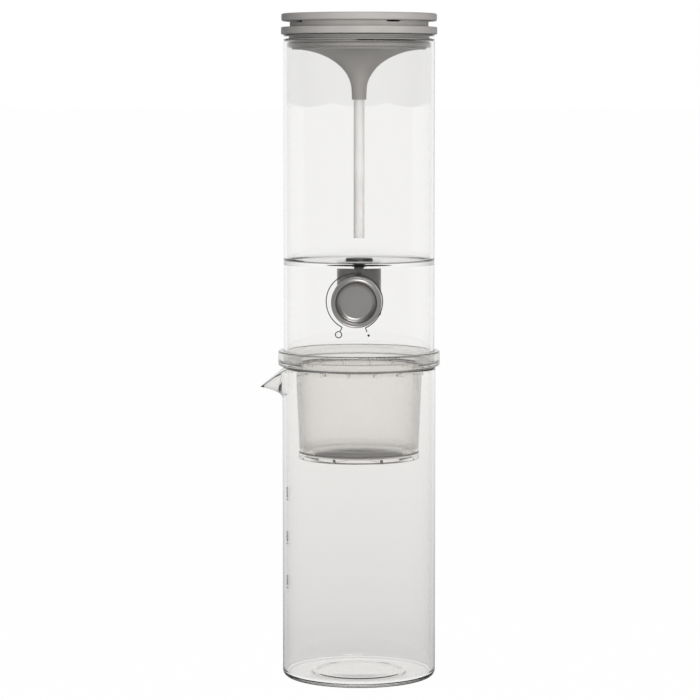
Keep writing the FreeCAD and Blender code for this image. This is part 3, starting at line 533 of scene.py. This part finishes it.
def knob():
    """The grip. Its side has the radius r - d * m(a) * (1 + cos(96 t)) / 2: straight teeth of depth d about
    the angle t, where m runs from 0 to 1 and back along the depth a."""
    back, deep, r, axis_z = knob_sizes("knob_grip")
    edge, face_r = KNOB_EDGE, r - KNOB_RIM
    floor = deep - KNOB_RECESS
    room = floor - KNOB_FRONT_WALL
    shell_r = r - KNOB_SHELL
    groove_r = r - RIM_GROOVE_IN
    side = np.stack([np.full(KNOB_SIDE_ROWS, r), np.linspace(edge, deep - edge, KNOB_SIDE_ROWS)], axis=-1)
    profile = np.concatenate([
        [(KNOB_BORE_R, 0.0), (KNOB_HUB_R - edge, 0.0)],
        arc(KNOB_HUB_R - edge, edge, edge, -90, 0, HUB_EDGE_ROWS),
        [(KNOB_HUB_R, room), (shell_r, room)],
        arc(shell_r + edge, edge, edge, 180, 270, HUB_EDGE_ROWS),
        arc(r - edge, edge, edge, -90, 0, BACK_EDGE_ROWS)[:-1],
        side,
        arc(r - edge, deep - edge, edge, 0, 90, FRONT_EDGE_ROWS)[1:],
        [
            (groove_r + RIM_GROOVE_HALF, deep),
            (groove_r, deep - RIM_GROOVE_DEPTH),
            (groove_r - RIM_GROOVE_HALF, deep),
        ],
        arc(face_r + edge, deep - edge, edge, 90, 180, FRONT_EDGE_ROWS),
        [(face_r, floor + RECESS_CORNER), (face_r - RECESS_CORNER, floor), (RECESS_MIDDLE_R, floor)],
    ])
    radius, depth = profile[:, :1], profile[:, 1:]
    rise = np.clip((depth - KNURL_START) / KNURL_FADE, 0, 1)
    fall = np.clip((deep - KNURL_END - depth) / KNURL_FADE, 0, 1)
    teeth = KNURL_DEPTH * rise * fall * (np.abs(radius - r) < SIDE_TOLERANCE)
    grid = knob_grid(profile, back, axis_z, KNOB_COLUMNS, teeth)
    surface("knob_knurled", grid, finishes["knob_metal"], "knob", "knob_metal", "knob_grip")


def dish():
    """The knob's face. Between the flat middle, of height m, and the lip, of height h, it is as high as
    m + (h - m) * (3 u**2 - 2 u**3)**1.15, with u running from 0 to 1 across the slope."""
    back, lip_height, r, axis_z = knob_sizes("knob_face")
    u = np.linspace(0, 1, DISH_SLOPE_ROWS)
    slope_r = DISH_FLAT_R + (r - DISH_LIP - DISH_FLAT_R) * u
    slope = DISH_MIDDLE + (lip_height - DISH_MIDDLE) * (3 * u**2 - 2 * u**3) ** DISH_SLOPE_POWER
    lip_r = DISH_LIP / 2
    profile = np.concatenate([
        [(DISH_MIDDLE_R, 0.0), (r - DISH_BACK_EDGE, 0.0), (r, DISH_BACK_EDGE)],
        arc(r - lip_r, lip_height - lip_r, lip_r, 0, 90, DISH_LIP_ROWS),
        np.stack([slope_r, slope], axis=-1)[::-1],
        run((DISH_FLAT_R, DISH_MIDDLE), (DISH_MIDDLE_R, DISH_MIDDLE), DISH_FLAT_ROWS),
    ])
    grid = knob_grid(profile, back, axis_z, DISH_COLUMNS)
    surface("knob_dish", grid, finishes["face_metal"], "knob", "face_metal", "knob_face")


carafe()
knob()
dish()


# Stage, light and camera


def seen_share(shader, mirrored, through):
    """Light Path as three brightnesses: 1 for the camera, and the given values for mirrored and for
    refracted rays. Also gives the mask of all three, which is 0 for rays that only carry light. A refracted
    ray counts as glossy too, so mirrored is glossy and not refracted."""
    path = shader.add("LightPath").outputs
    camera, glass = path["Is Camera Ray"], path["Is Transmission Ray"]
    mirror = shader.math("MULTIPLY", path["Is Glossy Ray"], shader.math("SUBTRACT", 1.0, glass))
    mirror_light = shader.math("MULTIPLY", mirror, mirrored)
    glass_light = shader.math("MULTIPLY", glass, through)
    other = shader.math("ADD", mirror_light, glass_light)
    both = shader.math("MAXIMUM", mirror, glass)
    return shader.math("MAXIMUM", camera, other), shader.math("MAXIMUM", camera, both)


def white_floor():
    """A wide pale sweep. The camera sees it white; metal and glass see it fall to grey close to the tower,
    and it still takes a faint shadow."""
    material, shader, out = new_material("floor_white")
    length = shader.add("VectorMath", operation="LENGTH")
    shader.feed(length.inputs[0], shader.place())
    away = length.outputs["Value"]
    far = shader.math("POWER", shader.spread(away, *SWEEP_AWAY, 0.0, 1.0), SWEEP_AWAY_POWER)
    behind = shader.spread(shader.split(shader.place())["Y"], *SWEEP_BEHIND, 0.0, 1.0)
    far_behind = shader.math("MULTIPLY", far, behind)
    mirrored = shader.spread(far_behind, 0.0, 1.0, SWEEP_NEAR_MIRRORED, BACKDROP)
    sweep_through = shader.spread(far, 0.0, 1.0, SWEEP_NEAR_THROUGH, BACKDROP)
    under = shader.spread(away, *UNDER_CARAFE, BACKDROP, 0.0)
    through = shader.math("MAXIMUM", sweep_through, under)
    strength, seen = seen_share(shader, mirrored, through)
    plain = shader.put(shader.add("BsdfDiffuse"), Color=FLOOR_BOUNCE)
    glow = shader.put(shader.add("Emission"), Color=WHITE, Strength=strength)
    seen_glow = shader.math("MULTIPLY", seen, FLOOR_GLOW_SHARE)
    shader.put(out, Surface=shader.choose(seen_glow, plain, glow).outputs[0])
    mesh = bpy.data.meshes.new("floor")
    reach = FLOOR_REACH
    corners = [(-reach, -reach, 0), (reach, -reach, 0), (reach, reach, 0), (-reach, reach, 0)]
    mesh.from_pydata(corners, [], [(0, 1, 2, 3)])
    mesh.materials.append(material)
    floor = bpy.data.objects.new("floor", mesh)
    bpy.context.scene.collection.objects.link(floor)
    floor.location.z = -FLOOR_DROP


def white_world():
    """A studio with a white backdrop behind the tower. Metal and glass see it darker in front and above, and
    metal sees it darker still at the sides."""
    world = bpy.data.worlds.new("studio")
    bpy.context.scene.world = world
    world.use_nodes = True
    world.node_tree.nodes.clear()
    shader = Shader(world.node_tree)
    direction = shader.split(shader.add("TexCoord").outputs["Generated"])
    overhead = shader.spread(direction["Z"], *OVERHEAD_FADE, 1.0, OVERHEAD_SHARE)
    side = shader.spread(shader.math("ABSOLUTE", direction["X"]), *SIDE_FADE, 1.0, SIDE_SHARE)
    front = shader.math("MULTIPLY", side, FRONT_MIRRORED)
    around_mirrored = shader.spread(direction["Y"], *BACK_MIRRORED_FADE, front, BACKDROP)
    around_through = shader.spread(direction["Y"], *BACK_THROUGH_FADE, FRONT_THROUGH, BACKDROP)
    mirrored = shader.math("MULTIPLY", around_mirrored, overhead)
    through = shader.math("MULTIPLY", around_through, overhead)
    strength, seen = seen_share(shader, mirrored, through)
    fill = shader.math("MULTIPLY", shader.math("SUBTRACT", 1.0, seen), WORLD_FILL)
    back = shader.add("Background")
    shader.put(back, Color=WHITE, Strength=shader.math("ADD", strength, fill))
    shader.put(shader.add("OutputWorld"), Surface=back.outputs[0])


def area_lamp(name, place, target, size, power):
    """A rectangular lamp that faces a point."""
    lamp = bpy.data.lights.new(name, "AREA")
    lamp.shape = "RECTANGLE"
    lamp.size, lamp.size_y = size
    lamp.energy = power
    holder = bpy.data.objects.new(name, lamp)
    bpy.context.scene.collection.objects.link(holder)
    holder.location = place
    holder.rotation_euler = (Vector(target) - Vector(place)).to_track_quat("-Z", "Y").to_euler()
    return holder


def photo_camera():
    """The photograph's eye: level with the upper tank, looking down at the middle of the tower."""
    camera = bpy.data.cameras.new("photo_camera")
    holder = bpy.data.objects.new("photo_camera", camera)
    bpy.context.scene.collection.objects.link(holder)
    across = Vector((math.cos(EYE_AZIMUTH), math.sin(EYE_AZIMUTH), 0))
    eye = Vector((EYE_DISTANCE * math.sin(EYE_AZIMUTH), -EYE_DISTANCE * math.cos(EYE_AZIMUTH), EYE_HEIGHT))
    aim = Vector((0, 0, AIM_HEIGHT)) - across * AIM_LEFT
    holder.location = eye
    holder.rotation_euler = (aim - eye).to_track_quat("-Z", "Y").to_euler()
    camera.sensor_width = SENSOR_MM
    camera.lens = SENSOR_MM * (aim - eye).length / (FRAME_PIXELS * PIXEL)
    bpy.context.scene.camera = holder


white_floor()
white_world()
key = area_lamp("key", KEY_PLACE, KEY_TARGET, KEY_SIZE, KEY_POWER)
key.visible_glossy = False
key.visible_transmission = False
area_lamp("softbox", SOFTBOX_PLACE, SOFTBOX_TARGET, SOFTBOX_SIZE, SOFTBOX_POWER)
photo_camera()

scene = bpy.context.scene
scene.view_settings.view_transform = "Standard"
scene.cycles.max_bounces = LIGHT_BOUNCES
scene.cycles.transmission_bounces = LIGHT_BOUNCES
scene.cycles.transparent_max_bounces = LIGHT_BOUNCES
scene.cycles.glossy_bounces = GLOSSY_BOUNCES
